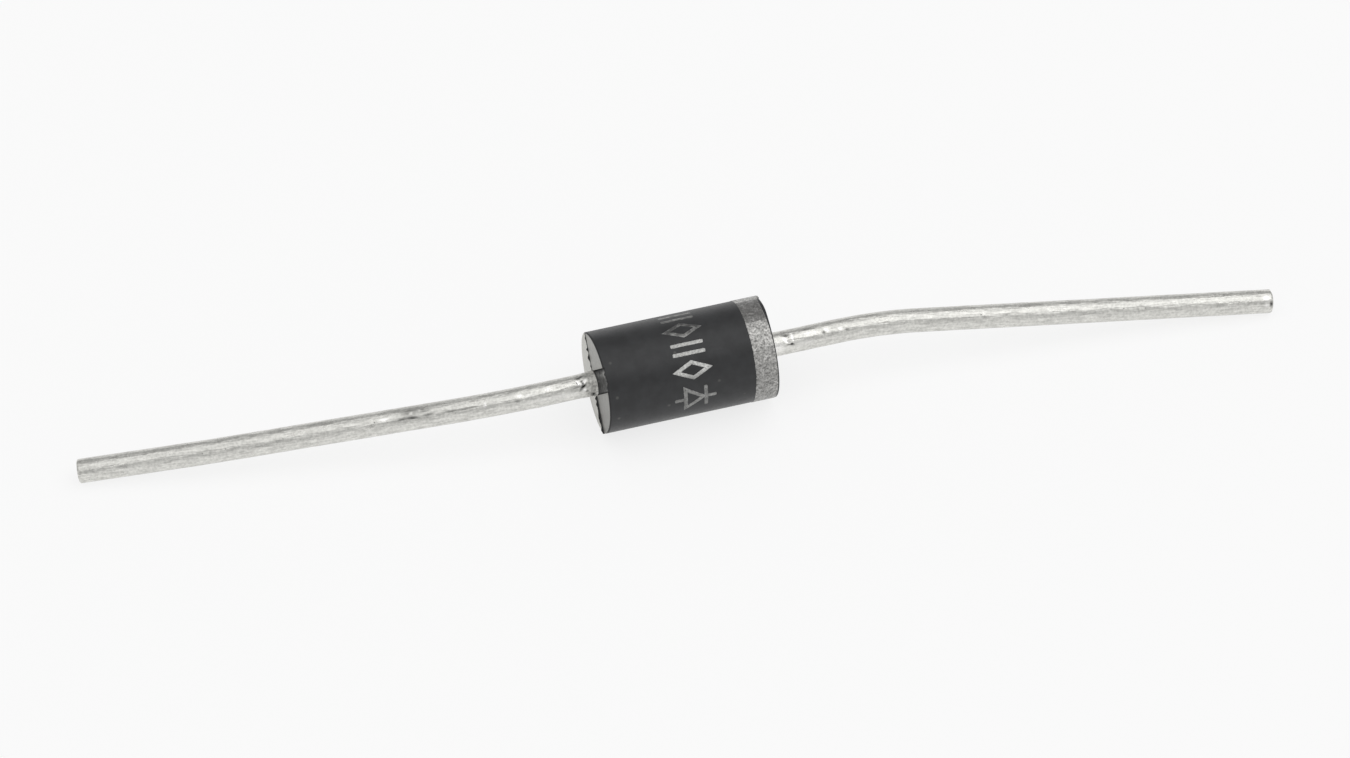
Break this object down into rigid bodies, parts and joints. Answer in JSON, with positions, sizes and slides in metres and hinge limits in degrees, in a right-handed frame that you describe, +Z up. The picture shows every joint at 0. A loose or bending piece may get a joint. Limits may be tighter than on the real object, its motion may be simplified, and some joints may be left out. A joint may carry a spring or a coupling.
{
  "type": "axial rectifier diode",
  "caption": "Black moulded cylinder with a silver polarity band at its cathode end and a bare tinned wire lead leaving each end face, both leads slightly bent.",
  "frame": {"origin": "on the bench surface, straight under the middle of the moulded body, at the mount body_seat", "axes": "+X along the body from the anode end to the banded cathode end, +Z up from the bench, +Y completes a right-handed frame and points away from the side that the picture shows"},
  "size_m": [0.0627, 0.0072, 0.0053],
  "materials": {
    "epoxy": "black filled epoxy, satin from the mould",
    "band_ink": "speckled silver grey printing ink",
    "tinned_wire": "matt tin plate over copper, streaked along the wire",
    "silicon": "lapped silicon",
    "solder": "dull solder",
    "silicone": "translucent white silicone rubber"
  },
  "bodies": {
    "root": {"epoxy_body": "epoxy", "cathode_band": "band_ink", "anode_lead": "tinned_wire", "cathode_lead": "tinned_wire", "silicon_die": "silicon", "anode_solder": "solder", "cathode_solder": "solder", "junction_coating": "silicone"}
  },
  "joints": []
}
